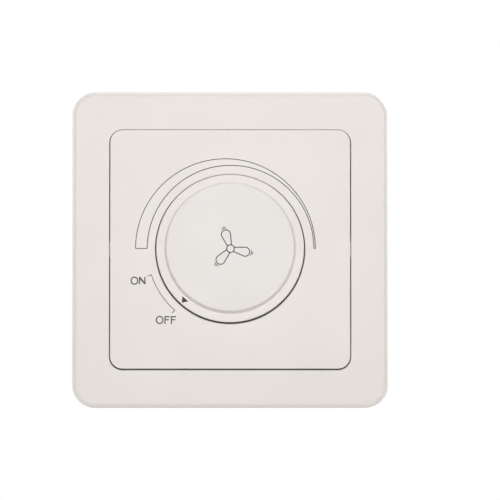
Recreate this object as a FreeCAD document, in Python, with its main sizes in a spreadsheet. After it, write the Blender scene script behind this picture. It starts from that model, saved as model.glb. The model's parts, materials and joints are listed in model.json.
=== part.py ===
import FreeCAD, Part
import math
import os
from types import SimpleNamespace

import Sketcher

# A rotary fan speed control for the wall. X runs to the right, Z up, and Y into the wall. The origin is the
# middle of the wall plane, between the two fixing screws. A level is a height out from the wall, along -Y,
# so what lies inside the wall has a negative level.

DRIVING_SIZES = {
    # trim frame
    "frame_side": 86.0,
    "frame_depth": 8.6,
    "frame_corner": 6.4,
    "frame_edge": 1.2,
    "frame_wall": 2.0,
    "lip_wall": 1.6,
    "lip_depth": 5.0,
    "pry_width": 10.0,
    "pry_depth": 1.2,
    "frame_rib": 1.2,
    # snap ribs that hold the frame on the yoke's flanges
    "snap_spread": 28.0,
    "snap_long": 8.0,
    "snap_clear": 0.4,
    "nub_reach": 0.8,
    "nub_thick": 1.4,
    # cover plate with the knob's cup
    "cover_side": 65.3,
    "cover_squat": 0.3,
    "cover_corner": 3.4,
    "cover_edge": 0.15,
    "cover_proud": 0.25,
    "cover_wall": 1.8,
    "cover_gap": 0.25,
    "cup_depth": 5.0,
    "cup_edge": 0.15,
    "cover_rib": 1.2,
    "hook_reach": 29.7,
    "hook_thick": 1.4,
    "hook_wide": 6.0,
    "hook_spread": 44.0,
    "hook_catch": 0.9,
    "hook_long": 2.2,
    "hook_clear": 0.25,
    # how far the cover hangs down in its hooks, and the frame round the cover
    "cover_drop": 0.2,
    "frame_drop": 0.165,
    # knob
    "skirt_radius": 20.1,
    "skirt_proud": 0.8,
    "skirt_edge": 0.25,
    "grip_radius": 17.72,
    "grip_draft": 0.5,
    "grip_rise": 9.2,
    "grip_edge": 0.3,
    "grip_foot": 0.2,
    "knob_wall": 1.8,
    "skirt_depth": 3.1,
    "knob_gap": 0.31,
    "knob_rib": 1.2,
    "hub_radius": 5.2,
    "hub_lift": 0.6,
    "spring_thick": 0.4,
    "spring_bow": 0.25,
    "spring_wide": 3.2,
    "spring_long": 7.0,
    # folded steel yoke
    "yoke_thick": 1.2,
    "yoke_tall": 72.0,
    "yoke_corner": 3.0,
    "yoke_margin": 0.75,
    "flange_rise": 5.6,
    "flange_long": 48.0,
    "bend_radius": 0.6,
    "wall_screw_spacing": 60.3,
    "wall_slot_radius": 2.1,
    "wall_slot_long": 9.0,
    "wall_head_radius": 4.2,
    "wall_head_rise": 3.4,
    # rear housing and its screws
    "housing_width": 50.0,
    "housing_tall": 56.0,
    "housing_wall": 1.8,
    "housing_corner": 3.0,
    "housing_edge": 1.0,
    "panel_wide": 36.0,
    "panel_tall": 22.0,
    "panel_depth": 0.4,
    "panel_rise": 7.0,
    "boss_radius": 2.8,
    "boss_inset": 2.6,
    "ledge_wide": 1.8,
    "ledge_long": 30.0,
    "vent_width": 1.6,
    "vent_long": 9.0,
    "vent_pitch": 4.0,
    "vent_run": 28.0,
    "top_vent_long": 22.0,
    "top_vent_run": 8.0,
    "house_screw_radius": 1.3,
    "house_screw_long": 10.0,
    "house_head_radius": 2.6,
    "house_head_thick": 1.8,
    "recess_wide": 0.7,
    "screw_clear": 0.1,
    # potentiometer
    "pot_plate_side": 17.0,
    "pot_plate_thick": 1.2,
    "neck_radius": 3.5,
    "neck_rise": 6.0,
    "washer_radius": 5.6,
    "washer_thick": 0.5,
    "nut_circumradius": 5.8,
    "nut_thick": 2.0,
    "shaft_radius": 2.97,
    "shaft_fit": 0.05,
    "shaft_flat": 1.5,
    "shaft_tip": 0.5,
    "tip_room": 1.2,
    "collar_radius": 4.4,
    "collar_thick": 0.8,
    "journal_radius": 2.0,
    "press_room": 0.02,
    "can_radius": 8.4,
    "can_wall": 0.6,
    "can_depth": 5.2,
    "rotor_radius": 5.8,
    "rotor_thick": 1.4,
    "lug_wide": 2.0,
    "lug_reach": 7.3,
    "stop_radius": 0.8,
    "stop_room": 2.0,
    "turn_start": 228.6,
    "turn_range": 228.6,
    "wiper_thick": 0.3,
    "wiper_wide": 1.6,
    "wiper_inner": 2.6,
    "wiper_outer": 5.4,
    "wafer_thick": 0.9,
    "running_room": 0.2,
    "tag_wide": 1.4,
    "tag_thick": 0.5,
    "tag_pitch": 5.0,
    "tag_root": 4.6,
    "tag_drop": 10.8,
    # snap switch behind the potentiometer
    "switch_depth": 7.2,
    "switch_wall": 1.2,
    "cam_radius": 3.2,
    "cam_reach": 4.4,
    "cam_wide": 1.8,
    "cam_thick": 3.4,
    "cam_room": 1.4,
    "leaf_thick": 0.4,
    "leaf_half": 4.3,
    "leaf_tag": 1.4,
    "contact_wide": 1.2,
    "contact_thick": 0.7,
    # circuit board
    "board_depth": 16.0,
    "board_thick": 1.6,
    "board_room": 0.4,
    "lead_radius": 0.4,
    "lead_out": 1.2,
    "hole_room": 0.15,
    "part_room": 0.8,
    # triac with its pad, screw and nut
    "triac_wide": 10.0,
    "triac_tab_long": 15.4,
    "triac_tab_thick": 1.3,
    "triac_body_long": 9.2,
    "triac_body_thick": 4.4,
    "triac_hole_drop": 2.8,
    "triac_hole_radius": 1.9,
    "triac_lead_pitch": 2.54,
    "triac_lead_drop": 2.0,
    "triac_lead_thick": 0.7,
    "pad_thick": 0.4,
    "pad_margin": 0.4,
    "triac_screw_radius": 1.45,
    "triac_head_radius": 2.7,
    "triac_head_thick": 1.6,
    "triac_nut_circumradius": 3.1,
    "triac_nut_thick": 2.4,
    # choke
    "choke_radius": 6.5,
    "choke_tall": 11.0,
    "choke_flange": 1.2,
    "choke_post": 3.0,
    "winding_depth": 3.0,
    "winding_turns": 8,
    "choke_pin_reach": 4.6,
    # other components on the board
    "filter_wide": 6.0,
    "filter_long": 13.0,
    "filter_tall": 11.5,
    "filter_drop": 2.0,
    "filter_pitch": 10.0,
    "film_edge": 0.6,
    "timer_wide": 7.2,
    "timer_long": 3.2,
    "timer_tall": 7.0,
    "timer_pitch": 5.0,
    "axial_radius": 1.2,
    "axial_long": 6.4,
    "axial_stub": 1.2,
    "axial_pitch": 2.6,
    "diode_radius": 0.9,
    "diode_long": 4.0,
    "fuse_radius": 2.6,
    "fuse_glass": 2.3,
    "fuse_long": 20.0,
    "fuse_cap": 5.0,
    "fuse_drop": 2.0,
    "clip_thick": 0.5,
    "clip_long": 4.0,
    "clip_grip": 1.4,
    # screw terminals with rising cages
    "terminal_pitch": 10.0,
    "cell_wall": 1.5,
    "cell_floor": 0.6,
    "cell_room": 0.3,
    "block_back_wall": 3.0,
    "cage_wide": 7.2,
    "cage_deep": 7.6,
    "cage_wall": 1.0,
    "cage_nut": 1.6,
    "cage_room": 0.2,
    "cage_travel": 2.4,
    "wire_space": 4.4,
    "wire_window_room": 0.5,
    "bar_thick": 1.0,
    "bar_pin": 1.2,
    "clamp_screw_radius": 1.75,
    "clamp_thread_room": 0.05,
    "clamp_head_radius": 2.5,
    "clamp_head_thick": 1.6,
    "clamp_head_sink": 0.2,
    "clamp_slot": 0.7,
}

KNOB_RIBS = 6
RESISTOR_COUNT = 3
TOUCH = 1e-4


class Length:
    """A size, or a sum of sizes: its value now and the formula that ties it to the sheet."""

    def __init__(self, value, formula):
        self.value = value
        self.formula = formula

    def __add__(self, other):
        other = length(other)
        return Length(self.value + other.value, f"({self.formula} + {other.formula})")

    def __radd__(self, other):
        return length(other) + self

    def __neg__(self):
        return Length(-self.value, f"(0 - {self.formula})")

    def __sub__(self, other):
        other = length(other)
        return Length(self.value - other.value, f"({self.formula} - {other.formula})")

    def __rsub__(self, other):
        return length(other) - self

    def __mul__(self, factor):
        factor = length(factor)
        return Length(self.value * factor.value, f"({self.formula} * {factor.formula})")

    def __rmul__(self, factor):
        return self * factor

    def __truediv__(self, divisor):
        divisor = length(divisor)
        return Length(self.value / divisor.value, f"({self.formula} / {divisor.formula})")


def length(item):
    return item if isinstance(item, Length) else Length(float(item), f"({float(item)})")


def polar(radius, angle):
    """The x and z of a point at a radius and at an angle in degrees, anticlockwise from the right."""
    turn = math.radians(angle.value)
    across = Length(radius.value * math.cos(turn), f"({radius.formula} * cos({angle.formula} * 1 deg))")
    up = Length(radius.value * math.sin(turn), f"({radius.formula} * sin({angle.formula} * 1 deg))")
    return across, up


doc = FreeCAD.newDocument("fan_speed_control")
sheet = doc.addObject("Spreadsheet::Sheet", "sizes")
for row, (alias, number) in enumerate(DRIVING_SIZES.items(), start=1):
    sheet.set(f"A{row}", alias)
    sheet.set(f"B{row}", str(number))
    sheet.setAlias(f"B{row}", alias)
doc.recompute()
size = SimpleNamespace(**{a: Length(float(v), f"sizes.{a}") for a, v in DRIVING_SIZES.items()})

subparts = []
board_holes = []


# Levels out from the wall, shared by the pieces that meet there

frame_inside = size.frame_depth - size.frame_wall
cover_front = size.frame_depth + size.cover_proud
cover_inside = cover_front - size.cover_wall
cup_back = cover_front - size.cup_depth
skirt_front = cover_front + size.skirt_proud
skirt_back = skirt_front - size.skirt_depth
grip_front = skirt_front + size.grip_rise
knob_ceiling = grip_front - size.knob_wall
hub_back = size.neck_rise + size.hub_lift
shaft_front = knob_ceiling - size.tip_room
can_front = -size.pot_plate_thick
can_back = can_front - size.can_depth
collar_front = can_front - size.running_room
rotor_front = collar_front - size.collar_thick
rotor_back = rotor_front - size.rotor_thick
wafer_front = can_back + size.wafer_thick
switch_back = can_back - size.switch_depth
switch_floor = switch_back + size.switch_wall
cam_back = switch_floor + size.cam_room
board_front = -size.board_depth
board_back = board_front - size.board_thick
lead_end = board_back - size.lead_out

# Levels of the terminals, from the board's back towards the rear

cage_low = board_back - size.cell_floor - size.cage_room
cage_floor = cage_low - size.cage_wall
bar_low = cage_floor - size.wire_space
bar_high = bar_low - size.bar_thick
cage_roof = bar_high - size.cage_room
cage_high = cage_roof - size.cage_nut
cell_roof = cage_high - size.cage_travel - size.cage_room / 2
head_low = cage_high - size.cage_travel - size.cage_room
head_high = head_low - size.clamp_head_thick
housing_back = head_high - size.clamp_head_sink

# Places across and up that several pieces share

cover_tall = size.cover_side - size.cover_squat
opening_side = size.cover_side + 2 * size.cover_gap
opening_tall = cover_tall + 2 * size.cover_gap
lip_side = opening_side + 2 * size.lip_wall
lip_tall = opening_tall + 2 * size.lip_wall
hollow_side = size.frame_side - 2 * size.frame_wall
cup_radius = size.skirt_radius + size.knob_gap
cup_outside = cup_radius + size.cover_wall
flange_outside = (lip_side + hollow_side) / 4 + size.yoke_thick / 2
snap_face = flange_outside + size.snap_clear
inner_half_width = size.housing_width / 2 - size.housing_wall
inner_half_tall = size.housing_tall / 2 - size.housing_wall
boss_across = inner_half_width - size.boss_inset
boss_up = inner_half_tall - size.boss_inset
boss_places = [(across * boss_across, up * boss_up) for across in (-1, 1) for up in (-1, 1)]
boss_free_across = boss_across - size.boss_radius - size.board_room
boss_free_up = boss_up - size.boss_radius - size.board_room
triac_across = -(boss_free_across - size.pad_margin - size.triac_wide / 2)
triac_top = inner_half_tall - size.part_room
triac_hole_up = triac_top - size.triac_hole_drop
cell_wide = size.cage_wide + 2 * size.cell_room
cell_front = -(inner_half_tall - size.cage_room)
cell_deep = size.cage_deep + 2 * size.cage_room + size.cell_room
cell_inner = cell_front + cell_deep
cage_middle = cell_inner - size.cell_room - size.cage_deep / 2
block_wide = size.terminal_pitch + cell_wide + 2 * size.cell_wall
block_deep = cell_deep + size.block_back_wall
cage_inner = size.cage_wide - 2 * size.cage_wall
bar_wide = cage_inner - 2 * size.cell_room
leg_up = cell_inner + size.bar_thick
fuse_low = -size.fuse_drop - size.fuse_long / 2
timer_up = -(size.tag_drop + size.part_room + size.timer_long)
spring_face = size.shaft_flat + size.spring_bow + size.spring_thick + 2 * size.press_room
leaf_face = size.cam_reach + size.running_room
leaf_tag_up = -size.leaf_half + size.leaf_tag / 2
contact_across = leaf_face - size.running_room - size.contact_thick / 2
contact_up = size.leaf_half - size.contact_wide / 2
terminal_places = {"left": -size.terminal_pitch / 2, "right": size.terminal_pitch / 2}


# Ways of making pieces

def bind(item, place, value):
    item.setExpression(place, length(value).formula)


def point(across, up):
    return FreeCAD.Vector(length(across).value, length(up).value, 0)


def new_body(label):
    body = doc.addObject("PartDesign::Body", label)
    body.Label = label
    subparts.append(body)
    return body


def sketch_on(body, level, plane="XZ_Plane"):
    sketch = body.newObject("Sketcher::SketchObject", f"{body.Name}_sketch")
    support = next(p for p in body.Origin.OriginFeatures if p.Role == plane)
    sketch.AttachmentSupport = [(support, "")]
    sketch.MapMode = "FlatFace"
    bind(sketch, "AttachmentOffset.Base.z", level)
    return sketch


def hold(sketch, kind, value, *places):
    """A dimension of the sketch, tied to the sheet."""
    index = sketch.addConstraint(Sketcher.Constraint(kind, *places, length(value).value))
    bind(sketch, f"Constraints[{index}]", value)


def hold_point(sketch, shape, vertex, across, up):
    hold(sketch, "DistanceX", across, -1, 1, shape, vertex)
    hold(sketch, "DistanceY", up, -1, 1, shape, vertex)


def draw_polygon(sketch, corners):
    first = sketch.GeometryCount
    count = len(corners)
    for start, end in zip(corners, corners[1:] + corners[:1]):
        sketch.addGeometry(Part.LineSegment(point(*start), point(*end)))
    for index in range(count):
        joint = (first + index, 2, first + (index + 1) % count, 1)
        sketch.addConstraint(Sketcher.Constraint("Coincident", *joint))
    for index, (across, up) in enumerate(corners):
        hold_point(sketch, first + index, 1, across, up)


def draw_rectangle(sketch, left, right, low, high):
    draw_polygon(sketch, [(left, low), (right, low), (right, high), (left, high)])


def draw_rounded(sketch, width, tall, corner):
    """A rectangle about the origin with round corners: four sides, then the four arcs between them."""
    first = sketch.GeometryCount
    right, high, radius = (length(value).value for value in (width / 2, tall / 2, corner))
    ends = [(right - radius, -high), (right, high - radius),
            (radius - right, high), (-right, radius - high)]
    starts = [(radius - right, -high), (right, radius - high),
              (right - radius, high), (-right, high - radius)]
    for start, end in zip(starts, ends):
        sketch.addGeometry(Part.LineSegment(point(*start), point(*end)))
    middles = [(right - radius, radius - high), (right - radius, high - radius),
               (radius - right, high - radius), (radius - right, radius - high)]
    for quarter, middle in enumerate(middles):
        circle = Part.Circle(point(*middle), FreeCAD.Vector(0, 0, 1), radius)
        sketch.addGeometry(Part.ArcOfCircle(circle, (quarter - 1) * math.pi / 2, quarter * math.pi / 2))
    for side in range(4):
        arc = first + 4 + side
        sketch.addConstraint(Sketcher.Constraint("Tangent", first + side, 2, arc, 1))
        sketch.addConstraint(Sketcher.Constraint("Tangent", arc, 2, first + (side + 1) % 4, 1))
        sketch.addConstraint(Sketcher.Constraint("Horizontal" if side % 2 == 0 else "Vertical", first + side))
        if side > 0:
            sketch.addConstraint(Sketcher.Constraint("Equal", first + 4, arc))
    hold(sketch, "Radius", corner, first + 4)
    hold(sketch, "DistanceY", -tall / 2, -1, 1, first, 1)
    hold(sketch, "DistanceX", width / 2, -1, 1, first + 1, 1)
    hold(sketch, "DistanceY", tall / 2, -1, 1, first + 2, 1)
    hold(sketch, "DistanceX", -width / 2, -1, 1, first + 3, 1)


def draw_circle(sketch, radius, across=0, up=0):
    circle = Part.Circle(point(across, up), FreeCAD.Vector(0, 0, 1), length(radius).value)
    shape = sketch.addGeometry(circle)
    hold(sketch, "Radius", radius, shape)
    hold_point(sketch, shape, 3, across, up)


def draw_slot(sketch, radius, long, across, up):
    """A slot along the sketch's first axis, with round ends."""
    reach = long / 2 - radius
    first = sketch.GeometryCount
    right, left = across + reach, across - reach
    for middle, start in ((right, -math.pi / 2), (left, math.pi / 2)):
        circle = Part.Circle(point(middle, up), FreeCAD.Vector(0, 0, 1), length(radius).value)
        sketch.addGeometry(Part.ArcOfCircle(circle, start, start + math.pi))
    sketch.addGeometry(Part.LineSegment(point(right, up + radius), point(left, up + radius)))
    sketch.addGeometry(Part.LineSegment(point(left, up - radius), point(right, up - radius)))
    for one, one_end, other, other_end in ((0, 2, 2, 1), (2, 2, 1, 1), (1, 2, 3, 1), (3, 2, 0, 1)):
        touch = (first + one, one_end, first + other, other_end)
        sketch.addConstraint(Sketcher.Constraint("Tangent", *touch))
    sketch.addConstraint(Sketcher.Constraint("Equal", first, first + 1))
    hold(sketch, "Radius", radius, first)
    hold_point(sketch, first, 3, right, up)
    hold(sketch, "DistanceX", left, -1, 1, first + 1, 3)


def draw_flatted(sketch, radius, flat):
    """A circle about the origin with its upper side cut flat."""
    rise = math.asin(length(flat).value / length(radius).value)
    half_chord = length(radius).value * math.cos(rise)
    circle = Part.Circle(point(0, 0), FreeCAD.Vector(0, 0, 1), length(radius).value)
    arc = sketch.addGeometry(Part.ArcOfCircle(circle, math.pi - rise, 2 * math.pi + rise))
    line = sketch.addGeometry(Part.LineSegment(point(half_chord, flat), point(-half_chord, flat)))
    sketch.addConstraint(Sketcher.Constraint("Coincident", arc, 2, line, 1))
    sketch.addConstraint(Sketcher.Constraint("Coincident", line, 2, arc, 1))
    sketch.addConstraint(Sketcher.Constraint("Coincident", arc, 3, -1, 1))
    sketch.addConstraint(Sketcher.Constraint("Horizontal", line))
    hold(sketch, "Radius", radius, arc)
    hold(sketch, "DistanceY", flat, -1, 1, line, 1)


def pad(body, sketch, reach, toward_wall=False, both_ways=False):
    feature = body.newObject("PartDesign::Pad", f"{body.Name}_pad")
    feature.Profile = sketch
    feature.Reversed = toward_wall
    feature.SideType = "Symmetric" if both_ways else "One side"
    bind(feature, "Length", reach)
    return feature


def pocket(body, sketch, depth, along_normal=False, both_ways=False):
    """A cut that has to take something away: on a front plane it goes towards the wall."""
    doc.recompute()
    volume = body.Shape.Volume
    feature = body.newObject("PartDesign::Pocket", f"{body.Name}_pocket")
    feature.Profile = sketch
    feature.Reversed = along_normal
    feature.SideType = "Symmetric" if both_ways else "One side"
    bind(feature, "Length", depth)
    doc.recompute()
    if body.Shape.Volume > volume - TOUCH:
        raise RuntimeError(f"{feature.Name} cuts nothing")
    return feature


def revolve(body, corners):
    """Turns an outline of radius and level about the axis of the knob."""
    sketch = sketch_on(body, 0, "XY_Plane")
    draw_polygon(sketch, [(radius, -length(level)) for radius, level in corners])
    feature = body.newObject("PartDesign::Revolution", f"{body.Name}_turned")
    feature.Profile = sketch
    feature.ReferenceAxis = (sketch, ["V_Axis"])
    feature.Angle = 360
    return feature


def fillet(body, radius, picks):
    doc.recompute()
    base = body.Tip
    names = [f"Edge{number}" for number, edge in enumerate(base.Shape.Edges, start=1) if picks(edge)]
    feature = body.newObject("PartDesign::Fillet", f"{body.Name}_round")
    feature.Base = (base, names)
    bind(feature, "Radius", radius)
    return feature


def at_level(edge, level):
    box = edge.BoundBox
    return max(abs(box.YMin + level.value), abs(box.YMax + level.value)) < TOUCH


def is_ring(edge, radius, level):
    round_edge = isinstance(edge.Curve, Part.Circle)
    return round_edge and abs(edge.Curve.Radius - length(radius).value) < TOUCH and at_level(edge, level)


def place(item, across, level, up):
    bind(item, "Placement.Base.x", across)
    bind(item, "Placement.Base.y", -length(level))
    bind(item, "Placement.Base.z", up)


def block(name, across, back, up, wide, deep, tall):
    """A block about across and up, from its back level outwards."""
    item = doc.addObject("Part::Box", name)
    bind(item, "Length", wide)
    bind(item, "Width", deep)
    bind(item, "Height", tall)
    place(item, across - wide / 2, back + deep, up - tall / 2)
    return item


DIRECTIONS = {
    "room": FreeCAD.Rotation(FreeCAD.Vector(1, 0, 0), 90),
    "right": FreeCAD.Rotation(FreeCAD.Vector(0, 1, 0), 90),
    "up": FreeCAD.Rotation(),
}


def rod(name, across, level, up, radius, reach, toward="room"):
    item = doc.addObject("Part::Cylinder", name)
    item.Placement = FreeCAD.Placement(FreeCAD.Vector(), DIRECTIONS[toward])
    bind(item, "Radius", radius)
    bind(item, "Height", reach)
    place(item, across, level, up)
    return item


def hexagon(name, across, level, up, circumradius, reach):
    item = doc.addObject("Part::Prism", name)
    item.Polygon = 6
    item.Placement = FreeCAD.Placement(FreeCAD.Vector(), DIRECTIONS["room"])
    bind(item, "Circumradius", circumradius)
    bind(item, "Height", reach)
    place(item, across, level, up)
    return item


def fuse(name, *items):
    joined = doc.addObject("Part::MultiFuse", name)
    joined.Shapes = list(items)
    joined.Refine = True
    return joined


def cut(name, base, *tools):
    result = doc.addObject("Part::Cut", name)
    result.Base = base
    result.Tool = tools[0] if len(tools) == 1 else fuse(f"{name}_cuts", *tools)
    result.Refine = True
    return result


def group(name, items):
    result = doc.addObject("Part::Compound", name)
    result.Links = items
    return result


def keep(item, label):
    item.Label = label
    subparts.append(item)


def lead(name, across, up, top):
    """A round lead from a level down through the board, with its hole."""
    board_holes.append((across, up, size.lead_radius + size.hole_room))
    return rod(name, across, lead_end, up, size.lead_radius, top - lead_end)


def slotted_screw(name, across, up, seat, radius, reach, head_radius, head_thick, slot):
    """A screw whose head stands on a seat towards the room, with a straight driver slot."""
    shank = rod(f"{name}_shank", across, seat - reach, up, radius, reach)
    head = rod(f"{name}_head", across, seat, up, head_radius, head_thick)
    groove = block(f"{name}_groove", across, seat + head_thick / 2, up, head_radius * 2, head_thick / 2, slot)
    return cut(name, fuse(f"{name}_blank", shank, head), groove)


# Trim frame

def make_outer_frame():
    body = new_body("outer_frame")
    outline = sketch_on(body, 0)
    draw_rounded(outline, size.frame_side, size.frame_side, size.frame_corner)
    pad(body, outline, size.frame_depth)
    fillet(body, size.frame_edge, lambda edge: at_level(edge, size.frame_depth))
    lip_back = size.frame_depth - size.lip_depth
    hollow_corner = size.frame_corner - size.frame_wall
    opening_corner = size.cover_corner + size.cover_gap
    hollow = sketch_on(body, 0)
    draw_rounded(hollow, hollow_side, hollow_side, hollow_corner)
    pocket(body, hollow, lip_back, along_normal=True)
    channel = sketch_on(body, lip_back)
    draw_rounded(channel, hollow_side, hollow_side, hollow_corner)
    draw_rounded(channel, lip_side, lip_tall, opening_corner + size.lip_wall)
    pocket(body, channel, frame_inside - lip_back, along_normal=True)
    opening = sketch_on(body, size.frame_depth)
    draw_rounded(opening, opening_side, opening_tall, opening_corner)
    pocket(body, opening, size.frame_depth)
    on_lip = opening_side.value / 2 + TOUCH

    def round_opening(edge):
        box = edge.BoundBox
        reach = max(abs(box.XMin), abs(box.XMax), abs(box.ZMin), abs(box.ZMax))
        return at_level(edge, size.frame_depth) and reach < on_lip

    fillet(body, size.cover_edge, round_opening)
    pry = sketch_on(body, 0)
    bottom = -size.frame_side / 2
    draw_rectangle(pry, -size.pry_width / 2, size.pry_width / 2,
                   bottom - size.frame_wall, bottom + size.frame_wall)
    pocket(body, pry, size.pry_depth, along_normal=True)
    ribs = sketch_on(body, frame_inside)
    rib_back = size.yoke_thick + size.snap_clear
    for up in (-size.snap_spread / 2, size.snap_spread / 2):
        low, high = up - size.snap_long / 2, up + size.snap_long / 2
        draw_rectangle(ribs, snap_face, hollow_side / 2, low, high)
        draw_rectangle(ribs, -hollow_side / 2, -snap_face, low, high)
    pad(body, ribs, frame_inside - rib_back, toward_wall=True)
    nub_low = size.yoke_thick + 3 * size.snap_clear
    nub_tip = snap_face - size.nub_reach
    nub_profile = [(snap_face, nub_low), (nub_tip, nub_low + size.nub_thick / 2),
                   (nub_tip, nub_low + size.nub_thick), (snap_face, nub_low + size.nub_thick * 1.5)]
    for up in (-size.snap_spread / 2, size.snap_spread / 2):
        nubs = sketch_on(body, up, "XY_Plane")
        draw_polygon(nubs, [(across, -level) for across, level in nub_profile])
        draw_polygon(nubs, [(-across, -level) for across, level in nub_profile])
        pad(body, nubs, size.snap_long, both_ways=True)
    stiffeners = sketch_on(body, frame_inside)
    near, far = (lip_tall - size.lip_wall) / 2, (hollow_side + size.frame_wall) / 2
    for across in (-size.snap_spread, -size.snap_spread / 2, size.snap_spread / 2, size.snap_spread):
        left, right = across - size.frame_rib / 2, across + size.frame_rib / 2
        draw_rectangle(stiffeners, left, right, near, far)
        draw_rectangle(stiffeners, left, right, -far, -near)
    pad(body, stiffeners, frame_inside - lip_back, toward_wall=True)
    bind(body, "Placement.Base.z", -(size.cover_drop + size.frame_drop))


# Cover plate

def make_cover_plate():
    body = new_body("cover_plate")
    outline = sketch_on(body, size.yoke_thick)
    draw_rounded(outline, size.cover_side, cover_tall, size.cover_corner)
    pad(body, outline, cover_front - size.yoke_thick)
    fillet(body, size.cover_edge, lambda edge: at_level(edge, cover_front))
    hollow = sketch_on(body, size.yoke_thick)
    inside = size.cover_side - 2 * size.cover_wall
    draw_rounded(hollow, inside, inside - size.cover_squat, size.cover_corner - size.cover_wall)
    draw_circle(hollow, cup_outside)
    pocket(body, hollow, cover_inside - size.yoke_thick, along_normal=True)
    cup_rear = sketch_on(body, size.yoke_thick)
    draw_circle(cup_rear, cup_outside)
    pocket(body, cup_rear, cup_back - size.yoke_thick, along_normal=True)
    cup = sketch_on(body, cover_front)
    draw_circle(cup, cup_radius)
    pocket(body, cup, size.cup_depth)
    fillet(body, size.cup_edge, lambda edge: is_ring(edge, cup_radius, cover_front))
    ribs = sketch_on(body, cover_inside)
    inner, outer = cup_outside - size.cover_wall / 2, (size.cover_side - size.cover_wall) / 2
    for near, far in ((inner, outer), (-outer, -inner)):
        draw_rectangle(ribs, near, far, -size.cover_rib / 2, size.cover_rib / 2)
        draw_rectangle(ribs, -size.cover_rib / 2, size.cover_rib / 2, near, far)
    pad(body, ribs, size.cover_wall, toward_wall=True)
    head_notch = sketch_on(body, size.yoke_thick)
    outside = size.cover_side / 2 + size.cover_wall
    draw_rectangle(head_notch, -outside, outside, -size.wall_head_radius, size.wall_head_radius)
    pocket(body, head_notch, size.wall_head_rise, along_normal=True)
    catch = -size.hook_clear / 2
    leg = size.hook_reach - size.hook_thick
    hook = [(leg, cover_inside), (size.hook_reach, cover_inside), (size.hook_reach, catch),
            (size.hook_reach + size.hook_catch, catch), (size.hook_reach + size.hook_catch, -size.hook_catch),
            (leg + size.hook_thick / 2, -size.hook_long), (leg, -size.hook_long)]
    for up in (-size.hook_spread / 2, size.hook_spread / 2):
        hooks = sketch_on(body, up, "XY_Plane")
        draw_polygon(hooks, [(across, -level) for across, level in hook])
        draw_polygon(hooks, [(-across, -level) for across, level in hook])
        pad(body, hooks, size.hook_wide, both_ways=True)
    bind(body, "Placement.Base.z", -size.cover_drop)


# Knob with its hub, ribs and leaf spring

def make_knob():
    body = new_body("knob")
    grip_top = size.grip_radius - size.grip_draft
    revolve(body, [
        (0, grip_front), (grip_top, grip_front), (size.grip_radius, skirt_front),
        (size.skirt_radius, skirt_front), (size.skirt_radius, skirt_back),
        (size.skirt_radius - size.knob_wall, skirt_back),
        (size.skirt_radius - size.knob_wall, skirt_front - size.knob_wall),
        (size.grip_radius - size.knob_wall, skirt_front - size.knob_wall),
        (grip_top - size.knob_wall, knob_ceiling), (size.hub_radius, knob_ceiling),
        (size.hub_radius, hub_back), (0, hub_back),
    ])
    fillet(body, size.grip_foot, lambda edge: is_ring(edge, size.grip_radius, skirt_front))
    fillet(body, size.skirt_edge, lambda edge: is_ring(edge, size.skirt_radius, skirt_front))
    fillet(body, size.grip_edge, lambda edge: is_ring(edge, grip_top, grip_front))
    bore = sketch_on(body, hub_back)
    draw_flatted(bore, size.shaft_radius + size.shaft_fit, spring_face)
    pocket(body, bore, shaft_front + size.running_room - hub_back, along_normal=True)
    rib = sketch_on(body, knob_ceiling)
    draw_rectangle(rib, size.hub_radius - size.knob_wall / 2, grip_top - size.knob_wall / 2,
                   -size.knob_rib / 2, size.knob_rib / 2)
    web = pad(body, rib, (knob_ceiling - skirt_front) / 2, toward_wall=True)
    doc.recompute()
    webs = body.newObject("PartDesign::PolarPattern", "knob_webs")
    webs.Originals = [web]
    webs.Axis = (rib, ["N_Axis"])
    webs.Angle = 360
    webs.Occurrences = KNOB_RIBS
    body.Tip = webs


def make_knob_spring():
    body = new_body("knob_spring")
    low = size.shaft_flat + size.press_room
    mid = shaft_front - size.spring_long / 2 - size.shaft_tip
    end = size.spring_long / 2
    outline = sketch_on(body, 0, "YZ_Plane")
    high = low + size.spring_bow
    draw_polygon(outline, [(-mid - end, low), (-mid, high), (-mid + end, low),
                           (-mid + end, low + size.spring_thick), (-mid, high + size.spring_thick),
                           (-mid - end, low + size.spring_thick)])
    pad(body, outline, size.spring_wide, both_ways=True)


# Steel yoke

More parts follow.
